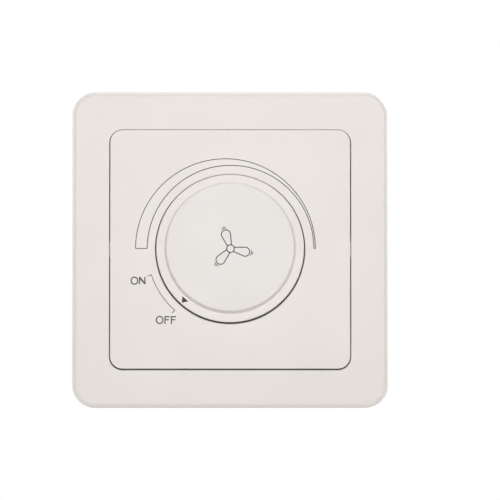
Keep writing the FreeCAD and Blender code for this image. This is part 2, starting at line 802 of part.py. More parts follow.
def make_mounting_yoke():
    body = new_body("mounting_yoke")
    section = sketch_on(body, 0, "XY_Plane")
    inside = flange_outside - size.yoke_thick
    draw_polygon(section, [
        (-flange_outside, 0), (flange_outside, 0), (flange_outside, -size.flange_rise),
        (inside, -size.flange_rise), (inside, -size.yoke_thick), (-inside, -size.yoke_thick),
        (-inside, -size.flange_rise), (-flange_outside, -size.flange_rise),
    ])
    pad(body, section, size.flange_long, both_ways=True)

    def bend(across, level):
        return lambda edge: at_level(edge, level) and edge.Length > size.flange_long.value - TOUCH and \
            abs(abs(edge.CenterOfMass.x) - across.value) < TOUCH

    fillet(body, size.bend_radius, bend(inside, size.yoke_thick))
    fillet(body, size.bend_radius + size.yoke_thick, bend(flange_outside, length(0)))
    plate = sketch_on(body, 0)
    draw_rounded(plate, size.cover_side + 2 * size.yoke_margin, size.yoke_tall, size.yoke_corner)
    pad(body, plate, size.yoke_thick)
    holes = sketch_on(body, size.yoke_thick)
    draw_circle(holes, size.neck_radius + size.screw_clear)
    draw_circle(holes, size.triac_screw_radius + size.screw_clear, triac_across, triac_hole_up)
    for across, up in boss_places:
        draw_circle(holes, size.house_screw_radius + size.screw_clear, across, up)
    slot_across = size.wall_screw_spacing / 2
    for across in (-slot_across, slot_across):
        draw_slot(holes, size.wall_slot_radius, size.wall_slot_long, across, length(0))
    near = size.hook_reach - size.hook_thick - size.hook_clear
    far = size.hook_reach + size.hook_clear
    half = size.hook_wide / 2 + size.hook_clear
    for up in (-size.hook_spread / 2, size.hook_spread / 2):
        draw_rectangle(holes, near, far, up - half, up + half)
        draw_rectangle(holes, -far, -near, up - half, up + half)
    pocket(body, holes, size.yoke_thick)
    windows = sketch_on(body, 0, "YZ_Plane")
    low = size.yoke_thick + 2 * size.snap_clear
    high = size.yoke_thick + 3 * size.snap_clear + size.nub_thick * 1.5 + size.snap_clear
    reach = size.snap_long / 2 + size.snap_clear
    for up in (-size.snap_spread / 2, size.snap_spread / 2):
        draw_rectangle(windows, -high, -low, up - reach, up + reach)
    pocket(body, windows, 2 * flange_outside + size.yoke_thick, both_ways=True)


# Rear housing and its screws

def make_rear_housing():
    body = new_body("rear_housing")
    depth = -housing_back
    outline = sketch_on(body, 0)
    draw_rounded(outline, size.housing_width, size.housing_tall, size.housing_corner)
    pad(body, outline, depth, toward_wall=True)
    fillet(body, size.housing_edge, lambda edge: at_level(edge, housing_back))
    hollow = sketch_on(body, 0)
    draw_rounded(hollow, 2 * inner_half_width, 2 * inner_half_tall, size.housing_corner - size.housing_wall)
    pocket(body, hollow, depth - size.housing_wall)
    bosses = sketch_on(body, 0)
    for across, up in boss_places:
        draw_circle(bosses, size.boss_radius, across, up)
    pad(body, bosses, depth - size.housing_wall / 2, toward_wall=True)
    ledges = sketch_on(body, board_back)
    near, far = inner_half_width - size.ledge_wide, inner_half_width + size.housing_wall / 2
    for left, right in ((near, far), (-far, -near)):
        draw_rectangle(ledges, left, right, -size.ledge_long / 2, size.ledge_long / 2)
    pad(body, ledges, board_back - housing_back - size.housing_wall / 2, toward_wall=True)
    screw_holes = sketch_on(body, 0)
    for across, up in boss_places:
        draw_circle(screw_holes, size.house_screw_radius + size.screw_clear, across, up)
    pocket(body, screw_holes, size.house_screw_long)
    block_window = sketch_on(body, housing_back)
    half = block_wide / 2 + size.cell_room
    draw_rectangle(block_window, -half, half,
                   cell_front - size.cage_room, cell_front + block_deep + size.cell_room)
    pocket(body, block_window, size.housing_wall, along_normal=True)
    wire_windows = sketch_on(body, -size.housing_tall / 2, "XY_Plane")
    reach = cage_inner / 2 + size.wire_window_room
    for across in terminal_places.values():
        draw_rectangle(wire_windows, across - reach, across + reach,
                       -cage_floor - size.wire_window_room, -bar_low + size.wire_window_room)
    pocket(body, wire_windows, size.housing_wall, along_normal=True)
    back_panel = sketch_on(body, housing_back)
    draw_rectangle(back_panel, -size.panel_wide / 2, size.panel_wide / 2,
                   size.panel_rise - size.panel_tall / 2, size.panel_rise + size.panel_tall / 2)
    pocket(body, back_panel, size.panel_depth, along_normal=True)

    def field_corner(edge):
        box = edge.BoundBox
        upright = max(box.XLength, box.ZLength) < TOUCH
        return upright and abs(abs(box.XMin) - size.panel_wide.value / 2) < TOUCH

    fillet(body, size.housing_edge, field_corner)
    vent = sketch_on(body, 0, "YZ_Plane")
    vent_middle = size.board_depth / 2
    draw_slot(vent, size.vent_width / 2, size.vent_long, vent_middle, -size.vent_run / 2)
    first_vent = pocket(body, vent, size.housing_width + size.housing_wall, both_ways=True)
    vents = body.newObject("PartDesign::LinearPattern", "housing_vents")
    vents.Originals = [first_vent]
    vents.Direction = (vent, ["V_Axis"])
    bind(vents, "Length", size.vent_run)
    vents.Occurrences = round(size.vent_run.value / size.vent_pitch.value) + 1
    body.Tip = vents
    top_vent = sketch_on(body, 0, "XY_Plane")
    first_top = vent_middle - size.top_vent_run / 2
    draw_slot(top_vent, size.vent_width / 2, size.top_vent_long, length(0), first_top)
    first_top_vent = pocket(body, top_vent, size.housing_tall + size.housing_wall, both_ways=True)
    top_vents = body.newObject("PartDesign::LinearPattern", "housing_top_vents")
    top_vents.Originals = [first_top_vent]
    top_vents.Direction = (top_vent, ["V_Axis"])
    bind(top_vents, "Length", size.top_vent_run)
    top_vents.Occurrences = round(size.top_vent_run.value / size.vent_pitch.value) + 1
    body.Tip = top_vents


def make_housing_screws():
    screws = []
    for number, (across, up) in enumerate(boss_places, start=1):
        screws.append(slotted_screw(
            f"housing_screw_{number}", across, up, size.yoke_thick, size.house_screw_radius,
            size.house_screw_long, size.house_head_radius, size.house_head_thick, size.recess_wide))
    keep(group("housing_screw_set", screws), "housing_screws")


# Potentiometer

def make_pot_bushing():
    body = new_body("pot_bushing")
    plate = sketch_on(body, can_front)
    draw_rounded(plate, size.pot_plate_side, size.pot_plate_side, size.pot_plate_thick)
    pad(body, plate, size.pot_plate_thick)
    neck = sketch_on(body, 0)
    draw_circle(neck, size.neck_radius)
    pad(body, neck, size.neck_rise)
    bore = sketch_on(body, size.neck_rise)
    draw_circle(bore, size.shaft_radius + size.shaft_fit)
    pocket(body, bore, size.neck_rise + size.pot_plate_thick)


def make_pot_fixings():
    ring = rod("washer_disc", 0, size.yoke_thick, 0, size.washer_radius, size.washer_thick)
    hole = rod("washer_hole", 0, size.yoke_thick, 0, size.neck_radius + size.screw_clear, size.washer_thick)
    keep(cut("washer", ring, hole), "pot_washer")
    nut_back = size.yoke_thick + size.washer_thick
    nut = hexagon("nut_blank", 0, nut_back, 0, size.nut_circumradius, size.nut_thick)
    thread = rod("nut_thread", 0, nut_back, 0, size.neck_radius + size.press_room, size.nut_thick)
    keep(cut("nut", nut, thread), "pot_nut")


def make_pot_shaft():
    body = new_body("pot_shaft")
    shaft_back = switch_floor + size.running_room
    revolve(body, [
        (0, shaft_front), (size.shaft_radius - size.shaft_tip, shaft_front),
        (size.shaft_radius, shaft_front - size.shaft_tip), (size.shaft_radius, collar_front),
        (size.collar_radius, collar_front), (size.collar_radius, rotor_front),
        (size.journal_radius, rotor_front), (size.journal_radius, shaft_back), (0, shaft_back),
    ])
    flat = sketch_on(body, shaft_front)
    beyond = size.shaft_radius + size.shaft_tip
    draw_rectangle(flat, -beyond, beyond, size.shaft_flat, beyond)
    pocket(body, flat, shaft_front - hub_back)


def make_pot_can():
    depth = size.can_depth
    wall = rod("can_outside", 0, can_back, 0, size.can_radius, depth)
    inside = size.can_radius - size.can_wall
    hollow = rod("can_inside", 0, can_back, 0, inside, depth)
    lug_half = Length(math.degrees(math.asin(size.lug_wide.value / 2 / size.rotor_radius.value)),
                      f"(asin({size.lug_wide.formula} / 2 / {size.rotor_radius.formula}) / 1 deg)")
    stop_middle = inside - size.stop_radius / 2
    stop_half = Length(math.degrees(math.asin(size.stop_radius.value / stop_middle.value)),
                       f"(asin({size.stop_radius.formula} / {stop_middle.formula}) / 1 deg)")
    spare = lug_half + stop_half + size.stop_room
    stops = []
    for name, angle in (("start_stop", size.turn_start + spare),
                        ("end_stop", size.turn_start - size.turn_range - spare)):
        across, up = polar(stop_middle, angle)
        stops.append(rod(name, across, rotor_back, up, size.stop_radius, can_front - rotor_back))
    keep(fuse("can", cut("can_wall", wall, hollow), *stops), "pot_can")


def make_pot_rotor():
    body = new_body("pot_rotor")
    disc = sketch_on(body, rotor_back)
    draw_circle(disc, size.rotor_radius)
    pad(body, disc, size.rotor_thick)
    lug = sketch_on(body, rotor_back)
    half = size.lug_wide / 2
    inner, outer = size.rotor_radius / 2, size.lug_reach
    along, side = polar(length(1), size.turn_start)
    corners = [(inner, -half), (outer, -half), (outer, half), (inner, half)]
    draw_polygon(lug, [(reach * along - aside * side, reach * side + aside * along)
                       for reach, aside in corners])
    pad(body, lug, size.rotor_thick)
    bore = sketch_on(body, rotor_front)
    draw_circle(bore, size.journal_radius + size.press_room)
    pocket(body, bore, size.rotor_thick)


def make_pot_wiper():
    body = new_body("pot_wiper")
    arm = sketch_on(body, 0, "XY_Plane")
    tip = wafer_front + size.running_room
    bend = size.wiper_inner + size.wiper_wide / 2
    heel = size.wiper_outer - size.wiper_wide / 2
    thick = size.wiper_thick
    profile = [(size.wiper_inner, rotor_back), (bend, rotor_back), (heel, tip + thick),
               (size.wiper_outer, tip + thick), (size.wiper_outer, tip), (heel, tip),
               (bend, rotor_back - thick), (size.wiper_inner, rotor_back - thick)]
    draw_polygon(arm, [(across, -level) for across, level in profile])
    pad(body, arm, size.wiper_wide, both_ways=True)


def make_pot_track():
    wafer_radius = size.can_radius - size.can_wall - size.press_room
    wafer = rod("wafer", 0, can_back, 0, wafer_radius, size.wafer_thick)
    eye = rod("wafer_eye", 0, can_back, 0, size.journal_radius + size.running_room, size.wafer_thick)
    keep(cut("track_wafer", wafer, eye), "pot_track")


def make_pot_tags():
    tags = []
    strip_back = can_back - size.tag_thick
    strip_long = size.tag_drop - size.tag_root
    leg_middle = -(size.tag_drop - size.tag_thick / 2)
    for number, across in enumerate((-size.tag_pitch, length(0), size.tag_pitch), start=1):
        strip = block(f"tag_strip_{number}", across, strip_back, -(size.tag_root + strip_long / 2),
                      size.tag_wide, size.tag_thick, strip_long)
        leg = block(f"tag_leg_{number}", across, lead_end, leg_middle,
                    size.tag_wide, strip_back - lead_end, size.tag_thick)
        tags.append(fuse(f"tag_{number}", strip, leg))
        board_holes.append((across, leg_middle, size.tag_wide / 2 + size.hole_room))
    keep(group("tag_set", tags), "pot_tags")


# Snap switch

def make_switch_box():
    inside = size.can_radius - size.switch_wall
    cup = rod("switch_outside", 0, switch_back, 0, size.can_radius, size.switch_depth)
    hollow = rod("switch_inside", 0, switch_floor, 0, inside, size.switch_depth)
    tag_gap = block("switch_tag_gap", length(0), can_back - size.tag_thick,
                    -size.can_radius / 2 - size.tag_root / 2,
                    2 * size.tag_pitch + size.tag_wide + 2 * size.hole_room, size.tag_thick, size.can_radius)
    slits = [block("leaf_slit", leaf_face + size.leaf_thick / 2, switch_back, leaf_tag_up,
                   size.leaf_thick + 2 * size.hole_room, size.switch_wall,
                   size.leaf_tag + 2 * size.hole_room),
             block("contact_slit", contact_across, switch_back, contact_up,
                   size.contact_thick + 2 * size.hole_room, size.switch_wall,
                   size.contact_wide + 2 * size.hole_room)]
    keep(cut("switch_cup", cup, hollow, tag_gap, *slits), "switch_box")


def make_switch_cam():
    disc = rod("cam_disc", 0, cam_back, 0, size.cam_radius, size.cam_thick)
    lobe = block("cam_lobe", size.cam_reach / 2, cam_back, length(0),
                 size.cam_reach, size.cam_thick, size.cam_wide)
    bore = rod("cam_bore", 0, cam_back, 0, size.journal_radius + size.press_room, size.cam_thick)
    keep(cut("cam", fuse("cam_blank", disc, lobe), bore), "switch_cam")


def make_switch_contacts():
    across = leaf_face + size.leaf_thick / 2
    leaf = block("leaf_strip", across, cam_back, length(0),
                 size.leaf_thick, size.cam_thick, 2 * size.leaf_half)
    tag = block("leaf_leg", across, lead_end, leaf_tag_up,
                size.leaf_thick, cam_back - lead_end, size.leaf_tag)
    board_holes.append((across, leaf_tag_up, size.leaf_tag / 2 + size.hole_room))
    keep(fuse("leaf", leaf, tag), "switch_moving_leaf")
    contact = block("fixed_contact", contact_across, lead_end, contact_up, size.contact_thick,
                    cam_back + size.cam_thick - lead_end, size.contact_wide)
    board_holes.append((contact_across, contact_up, size.contact_wide / 2 + 2 * size.hole_room))
    keep(contact, "switch_fixed_contact")


# Triac on the yoke

def make_triac():
    front = -size.pad_thick
    pad_wide = size.triac_wide + 2 * size.pad_margin
    pad_long = size.triac_tab_long + 2 * size.pad_margin
    tab_middle = triac_top - size.triac_tab_long / 2
    sheet_pad = block("pad_sheet", triac_across, front, tab_middle, pad_wide, size.pad_thick, pad_long)
    pad_hole = rod("pad_hole", triac_across, front, triac_hole_up,
                   size.triac_screw_radius + size.screw_clear, size.pad_thick)
    keep(cut("insulating_pad", sheet_pad, pad_hole), "triac_pad")

    tab_back = front - size.triac_tab_thick
    body_back = front - size.triac_body_thick
    body_low = triac_top - size.triac_tab_long
    tab = block("triac_tab", triac_across, tab_back, tab_middle,
                size.triac_wide, size.triac_tab_thick, size.triac_tab_long)
    case = block("triac_case", triac_across, body_back, body_low + size.triac_body_long / 2,
                 size.triac_wide, size.triac_body_thick, size.triac_body_long)
    leads = []
    lead_level = (tab_back + body_back) / 2
    thick = size.triac_lead_thick
    for number, across in enumerate((-size.triac_lead_pitch, length(0), size.triac_lead_pitch), start=1):
        at = triac_across + across
        end_up = body_low - size.triac_lead_drop
        leads.append(block(f"triac_stub_{number}", at, lead_level, body_low - size.triac_lead_drop / 2,
                           thick, thick, size.triac_lead_drop))
        leads.append(block(f"triac_leg_{number}", at, lead_end, end_up + thick / 2,
                           thick, lead_level - lead_end, thick))
        board_holes.append((at, end_up + thick / 2, thick * 0.75 + size.hole_room))
    eye = rod("triac_eye", triac_across, tab_back, triac_hole_up,
              size.triac_hole_radius, size.triac_tab_thick)
    keep(cut("triac_blank", fuse("triac_whole", tab, case, *leads), eye), "triac")

    nut_back = tab_back - size.triac_nut_thick
    keep(slotted_screw("tab_screw", triac_across, triac_hole_up, size.yoke_thick, size.triac_screw_radius,
                       size.yoke_thick - nut_back, size.triac_head_radius, size.triac_head_thick,
                       size.recess_wide), "triac_screw")
    blank = hexagon("tab_nut_blank", triac_across, nut_back, triac_hole_up,
                    size.triac_nut_circumradius, size.triac_nut_thick)
    thread = rod("tab_nut_thread", triac_across, nut_back, triac_hole_up,
                 size.triac_screw_radius + size.press_room, size.triac_nut_thick)
    keep(cut("tab_nut", blank, thread), "triac_nut")


# Components standing on the board

def make_choke():
    across = boss_free_across - size.choke_radius
    up = inner_half_tall - size.part_room - size.choke_radius
    roof = board_front + size.choke_tall
    post = rod("choke_post", across, board_front, up, size.choke_post, size.choke_tall)
    foot = rod("choke_foot", across, board_front, up, size.choke_radius, size.choke_flange)
    head = rod("choke_head", across, roof - size.choke_flange, up, size.choke_radius, size.choke_flange)
    pin_places = [across - size.choke_pin_reach, across + size.choke_pin_reach]
    pin_holes = [rod(f"choke_eye_{number}", at, board_front, up, size.lead_radius + size.hole_room,
                     size.choke_flange) for number, at in enumerate(pin_places, start=1)]
    keep(cut("choke_drum", fuse("choke_blank", post, foot, head), *pin_holes), "choke_core")

    low = board_front + size.choke_flange + size.press_room
    span = size.choke_tall - 2 * size.choke_flange - 2 * size.press_room
    bundle = rod("winding_bundle", across, low, up, size.choke_post + size.winding_depth, span)
    inside = rod("winding_inside", across, low, up, size.choke_post + size.press_room, span)
    turns = int(size.winding_turns.value)
    grooves = []
    for number in range(1, turns):
        ring = doc.addObject("Part::Torus", f"winding_groove_{number}")
        ring.Placement = FreeCAD.Placement(FreeCAD.Vector(), DIRECTIONS["room"])
        bind(ring, "Radius1", size.choke_post + size.winding_depth)
        bind(ring, "Radius2", span / turns / 4)
        place(ring, across, low + span * number / turns, up)
        grooves.append(ring)
    pins = [lead(f"choke_pin_{number}", at, up, low) for number, at in enumerate(pin_places, start=1)]
    keep(fuse("winding", cut("winding_coil", bundle, inside, *grooves), *pins), "choke_winding")


def make_film_capacitor(label, across, up, wide, long, tall, lead_places):
    body = new_body(label)
    outline = sketch_on(body, board_front)
    draw_rectangle(outline, across - wide / 2, across + wide / 2, up - long / 2, up + long / 2)
    pad(body, outline, tall)
    fillet(body, size.film_edge, lambda edge: not at_level(edge, board_front))
    wires = sketch_on(body, board_front)
    for at, at_up in lead_places:
        draw_circle(wires, size.lead_radius, at, at_up)
        board_holes.append((at, at_up, size.lead_radius + size.hole_room))
    pad(body, wires, board_front - lead_end, toward_wall=True)


def make_capacitors():
    across = inner_half_width - size.part_room - size.filter_wide / 2
    up = -size.filter_drop
    make_film_capacitor("suppression_capacitor", across, up, size.filter_wide, size.filter_long,
                        size.filter_tall, [(across, up - size.filter_pitch / 2),
                                           (across, up + size.filter_pitch / 2)])
    timer_across = block_wide / 2 + size.part_room + size.timer_wide / 2
    make_film_capacitor("timing_capacitor", timer_across, timer_up, size.timer_wide, size.timer_long,
                        size.timer_tall, [(timer_across - size.timer_pitch / 2, timer_up),
                                          (timer_across + size.timer_pitch / 2, timer_up)])


def axial_part(name, across, up, radius, long):
    """A round component lying on the board with its two leads bent down into it."""
    level = board_front + radius + size.press_room
    body = rod(f"{name}_body", across - long / 2, level, up, radius, long, "right")
    reach = long / 2 + size.axial_stub
    wire = rod(f"{name}_wire", across - reach, level, up, size.lead_radius, 2 * reach, "right")
    legs = [lead(f"{name}_leg_{number}", at, up, level)
            for number, at in enumerate((across - reach, across + reach), start=1)]
    return fuse(name, body, wire, *legs)


def make_axial_parts():
    beside_block = block_wide / 2 + size.part_room + size.lead_radius + size.axial_stub
    across = -(beside_block + size.axial_long / 2)
    first_up = fuse_low - size.part_room - size.axial_radius - size.lead_radius
    resistors = [axial_part(f"resistor_{number + 1}", across, first_up - size.axial_pitch * number,
                            size.axial_radius, size.axial_long) for number in range(RESISTOR_COUNT)]
    keep(group("resistor_set", resistors), "resistors")
    diode_across = beside_block + size.diode_long / 2
    diode_up = timer_up - size.timer_long / 2 - size.part_room - size.diode_radius
    keep(axial_part("diac", diode_across, diode_up, size.diode_radius, size.diode_long), "trigger_diode")


def make_fuse():
    across = -(inner_half_width - size.part_room - size.fuse_radius - size.clip_thick)
    level = board_front + size.clip_thick + size.press_room + size.fuse_radius
    cap_places = (fuse_low, fuse_low + size.fuse_long - size.fuse_cap)
    glass = rod("fuse_tube", across, level, fuse_low, size.fuse_glass, size.fuse_long, "up")
    caps = [rod(f"fuse_cap_{number}", across, level, at, size.fuse_radius, size.fuse_cap, "up")
            for number, at in enumerate(cap_places, start=1)]
    keep(fuse("cartridge_fuse", glass, *caps), "fuse_link")

    clips = []
    outside = size.fuse_radius + size.press_room + size.clip_thick
    for number, cap_low in enumerate(cap_places, start=1):
        middle = cap_low + size.fuse_cap / 2
        channel = block(f"clip_channel_{number}", across, board_front, middle, 2 * outside,
                        level - board_front + size.clip_grip, size.clip_long)
        seat = rod(f"clip_bed_{number}", across, level, middle - size.clip_long / 2,
                   size.fuse_radius + size.press_room, size.clip_long, "up")
        mouth = block(f"clip_mouth_{number}", across, level, middle, 2 * (outside - size.clip_thick),
                      size.clip_grip, size.clip_long)
        formed = cut(f"clip_formed_{number}", channel, seat, mouth)
        clips.append(fuse(f"clip_{number}", formed, lead(f"clip_pin_{number}", across, middle, board_front)))
    keep(group("clip_set", clips), "fuse_clips")


# Screw terminals

def make_terminal_block():
    body = new_body("terminal_block")
    outline = sketch_on(body, board_back)
    draw_rectangle(outline, -block_wide / 2, block_wide / 2, cell_front, cell_front + block_deep)
    pad(body, outline, board_back - housing_back, toward_wall=True)
    cells = sketch_on(body, cell_front, "XY_Plane")
    for across in terminal_places.values():
        draw_rectangle(cells, across - cell_wide / 2, across + cell_wide / 2,
                       -(board_back - size.cell_floor), -cell_roof)
    pocket(body, cells, cell_deep, along_normal=True)
    bar_slots = sketch_on(body, board_back)
    for across in terminal_places.values():
        half = bar_wide / 2 + size.press_room
        draw_rectangle(bar_slots, across - half, across + half, cell_inner, leg_up + size.press_room)
    pocket(body, bar_slots, board_back - bar_high + size.press_room)
    guides = sketch_on(body, housing_back)
    for across in terminal_places.values():
        draw_circle(guides, size.clamp_head_radius + size.cage_room, across, cage_middle)
    pocket(body, guides, cell_roof - housing_back, along_normal=True)


def make_terminal_bars():
    bars = []
    front = cage_middle - size.cage_deep / 2
    for side, across in terminal_places.items():
        strip = block(f"bar_strip_{side}", across, bar_high, (front + leg_up) / 2,
                      bar_wide, size.bar_thick, leg_up - front)
        leg = block(f"bar_leg_{side}", across, bar_low, leg_up - size.bar_thick / 2,
                    bar_wide, board_back - bar_low, size.bar_thick)
        pin = block(f"bar_pin_{side}", across, board_back, leg_up - size.bar_thick / 2,
                    size.bar_pin, size.board_thick + size.lead_out, size.bar_thick)
        board_holes.append((across, leg_up - size.bar_thick / 2, size.bar_pin * 0.75 + size.hole_room))
        bars.append(fuse(f"bar_{side}", strip, leg, pin))
    keep(group("bar_set", bars), "terminal_bars")


def make_terminal_clamp(side, across):
    tall = cage_low - cage_high
    frame = block(f"cage_frame_{side}", across, cage_high, cage_middle, size.cage_wide, tall, size.cage_deep)
    mouth = block(f"cage_mouth_{side}", across, cage_roof, cage_middle, cage_inner, cage_floor - cage_roof,
                  size.cage_deep)
    thread = rod(f"cage_thread_{side}", across, cage_high, cage_middle,
                 size.clamp_screw_radius + size.clamp_thread_room, size.cage_nut)
    keep(cut(f"cage_{side}", frame, mouth, thread), f"terminal_cage_{side}")
    shank_end = bar_high - size.clamp_thread_room
    shank = rod(f"clamp_shank_{side}", across, head_low, cage_middle,
                size.clamp_screw_radius, shank_end - head_low)
    head = rod(f"clamp_head_{side}", across, head_high, cage_middle,
               size.clamp_head_radius, size.clamp_head_thick)
    groove = block(f"clamp_groove_{side}", across, head_high, cage_middle,
                   2 * size.clamp_head_radius, size.clamp_head_thick / 2, size.clamp_slot)
    keep(cut(f"clamp_{side}", fuse(f"clamp_blank_{side}", shank, head), groove), f"terminal_screw_{side}")


# Circuit board, notched for the housing's bosses

def make_circuit_board():
    body = new_body("circuit_board")
    half_wide = inner_half_width - size.board_room
    half_tall = inner_half_tall - size.board_room
    notch_wide, notch_tall = boss_free_across, boss_free_up
    outline = sketch_on(body, board_back)
    draw_polygon(outline, [
        (-notch_wide, -half_tall), (notch_wide, -half_tall), (notch_wide, -notch_tall),
        (half_wide, -notch_tall), (half_wide, notch_tall), (notch_wide, notch_tall),
        (notch_wide, half_tall), (-notch_wide, half_tall), (-notch_wide, notch_tall),
        (-half_wide, notch_tall), (-half_wide, -notch_tall), (-notch_wide, -notch_tall),
    ])
    pad(body, outline, size.board_thick)
    holes = sketch_on(body, board_front)
    for across, up, radius in board_holes:
        draw_circle(holes, radius, across, up)
    pocket(body, holes, size.board_thick)


def make_all():
    make_outer_frame()
    make_cover_plate()
    make_knob()
    make_knob_spring()
    make_mounting_yoke()
    make_rear_housing()
    make_housing_screws()
    make_pot_bushing()
    make_pot_fixings()
    make_pot_shaft()
    make_pot_can()
    make_pot_rotor()
    make_pot_wiper()
    make_pot_track()
    make_pot_tags()
    make_switch_box()
    make_switch_cam()
    make_switch_contacts()
    make_triac()
    make_choke()
    make_capacitors()
    make_axial_parts()
    make_fuse()
    make_terminal_block()
    make_terminal_bars()
    for side, across in terminal_places.items():
        make_terminal_clamp(side, across)
    make_circuit_board()


def write_subparts():
    doc.recompute()
    failed = [item.Name for item in doc.Objects if {"Invalid", "Error"} & set(item.State)]
    failed += [item.Label for item in subparts if item.Shape.isNull() or not item.Shape.isValid()]
    if failed:
        raise RuntimeError(f"these did not build: {failed}")
    os.makedirs("parts", exist_ok=True)
    for item in subparts:
        item.Shape.exportStep(os.path.join("parts", f"{item.Label}.step"))


make_all()
write_subparts()
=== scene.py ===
import json
import math

import bmesh
import bpy
from mathutils import Matrix, Vector


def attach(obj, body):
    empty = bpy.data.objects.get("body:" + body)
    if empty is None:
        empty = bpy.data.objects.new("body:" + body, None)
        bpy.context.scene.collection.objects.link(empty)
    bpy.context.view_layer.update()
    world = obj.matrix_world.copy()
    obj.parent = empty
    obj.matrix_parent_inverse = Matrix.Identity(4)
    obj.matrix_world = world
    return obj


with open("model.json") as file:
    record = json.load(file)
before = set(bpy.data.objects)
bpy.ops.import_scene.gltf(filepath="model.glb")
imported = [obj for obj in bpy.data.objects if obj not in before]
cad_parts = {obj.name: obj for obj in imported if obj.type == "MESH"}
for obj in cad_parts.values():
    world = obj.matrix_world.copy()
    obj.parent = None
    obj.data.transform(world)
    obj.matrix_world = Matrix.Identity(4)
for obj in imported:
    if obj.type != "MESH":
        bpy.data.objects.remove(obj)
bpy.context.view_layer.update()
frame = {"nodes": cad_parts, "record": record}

# A rotary fan speed control for the wall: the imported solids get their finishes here,
# and the prints are added. x runs to the right, z up and y into the wall, so a level
# is a height out from the wall along -y. Sizes are in millimetres unless a note says metres.

mm = 0.001
meshing = {"weld": 0.0004, "arcStep": 2.5, "fewestSteps": 6}  # the step in degrees
print("frame loaded:", len(frame["nodes"]), "nodes")


def spot(across, up, level):
    return Vector((across * mm, -level * mm, up * mm))


def addPiece(bm, name, body, material, smoothAngle=30):
    bmesh.ops.remove_doubles(bm, verts=bm.verts, dist=meshing["weld"] * mm)
    bmesh.ops.recalc_face_normals(bm, faces=bm.faces)
    mesh = bpy.data.meshes.new(name)
    bm.to_mesh(mesh)
    bm.free()
    mesh.shade_smooth()
    mesh.set_sharp_from_angle(angle=math.radians(smoothAngle))
    mesh.materials.append(material)
    piece = bpy.data.objects.new(name, mesh)
    bpy.context.scene.collection.objects.link(piece)
    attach(piece, body)
    return piece


def onCircle(middle, radius, turn):
    # a point on a circle, the turn in degrees anticlockwise from the right
    angle = math.radians(turn)
    return middle[0] + radius * math.cos(angle), middle[1] + radius * math.sin(angle)


def inkArc(bm, middle, radius, line, start, end, level):
    ends = [bm.verts.new(spot(*onCircle(middle, reach, start), level))
            for reach in (radius - line / 2, radius + line / 2)]
    edge = bm.edges.new(ends)
    sweep = abs(end - start)
    steps = max(meshing["fewestSteps"], int(sweep / meshing["arcStep"]))
    bmesh.ops.spin(bm, geom=ends + [edge], cent=spot(*middle, level), axis=(0, -1, 0),
                   angle=math.radians(end - start), steps=steps, use_merge=sweep >= 360)


def inkLine(bm, first, last, line, level):
    run = Vector((last[0] - first[0], last[1] - first[1]))
    side = Vector((-run.y, run.x)).normalized() * line / 2
    start = [bm.verts.new(spot(first[0] + sign * side.x, first[1] + sign * side.y, level))
             for sign in (1, -1)]
    grown = bmesh.ops.extrude_edge_only(bm, edges=[bm.edges.new(start)])
    moved = [item for item in grown["geom"] if isinstance(item, bmesh.types.BMVert)]
    bmesh.ops.translate(bm, verts=moved, vec=spot(run.x, run.y, 0))


def inkShape(bm, corners, level):
    bm.faces.new([bm.verts.new(spot(across, up, level)) for across, up in corners])


def inkBody(bm, thick):
    # gives the flat strips their thickness, out from the surface
    flat = list(bm.faces)
    bmesh.ops.recalc_face_normals(bm, faces=flat)
    grown = bmesh.ops.extrude_face_region(bm, geom=flat, use_keep_orig=True)
    moved = [item for item in grown["geom"] if isinstance(item, bmesh.types.BMVert)]
    bmesh.ops.translate(bm, verts=moved, vec=spot(0, 0, thick))


def newGroup(name, inputs, outputs):
    group = bpy.data.node_groups.new(name, "ShaderNodeTree")
    for title, kind in inputs.items():
        group.interface.new_socket(title, in_out="INPUT", socket_type="NodeSocket" + kind)
    for title in outputs:
        group.interface.new_socket(title, in_out="OUTPUT", socket_type="NodeSocketFloat")
    nodes = group.nodes
    given, put = nodes.new("NodeGroupInput").outputs, nodes.new("NodeGroupOutput").inputs
    return group, nodes, group.links, given, put


def noiseOn(nodes, links, vector, detail):
    noise = nodes.new("ShaderNodeTexNoise")
    noise.inputs["Detail"].default_value = detail
    links.new(vector, noise.inputs["Vector"])
    return noise


def maths(nodes, links, operation, first, second):
    node = nodes.new("ShaderNodeMath")
    node.operation = operation
    for socket, value in zip(node.inputs, (first, second)):
        if isinstance(value, (int, float)):
            socket.default_value = value
        else:
            links.new(value, socket)
    return node.outputs[0]


def blendOf(nodes, links, share, first, second):
    blend = nodes.new("ShaderNodeMix")
    blend.inputs["Factor"].default_value = share
    links.new(first, blend.inputs[2])
    links.new(second, blend.inputs[3])
    return blend.outputs[0]


def axisReach(nodes, links, vector):
    # how far a place lies from the axis along y
    flat, reach = nodes.new("ShaderNodeVectorMath"), nodes.new("ShaderNodeVectorMath")
    flat.operation, reach.operation = "MULTIPLY", "LENGTH"
    flat.inputs[1].default_value = (1, 0, 1)
    links.new(vector, flat.inputs[0])
    links.new(flat.outputs[0], reach.inputs[0])
    return reach.outputs["Value"]


grainShares = {"pebbleInMould": 0.35, "patchInRolled": 0.5, "noiseInTurned": 0.5, "turnedNoise": 900}


def mouldGrainGroup():
    # moulded or coated skin: a slow drift of tone and a fine pebble
    group, nodes, links, given, put = newGroup("mouldGrain", {"Pebble": "Float", "Drift": "Float"},
                                               ("Tone", "Height"))
    place = nodes.new("ShaderNodeTexCoord").outputs["Object"]
    pebble, drift = noiseOn(nodes, links, place, 3), noiseOn(nodes, links, place, 2)
    links.new(given["Pebble"], pebble.inputs["Scale"])
    links.new(given["Drift"], drift.inputs["Scale"])
    tone = blendOf(nodes, links, grainShares["pebbleInMould"], drift.outputs["Fac"], pebble.outputs["Fac"])
    links.new(tone, put["Tone"])
    links.new(pebble.outputs["Fac"], put["Height"])
    return group


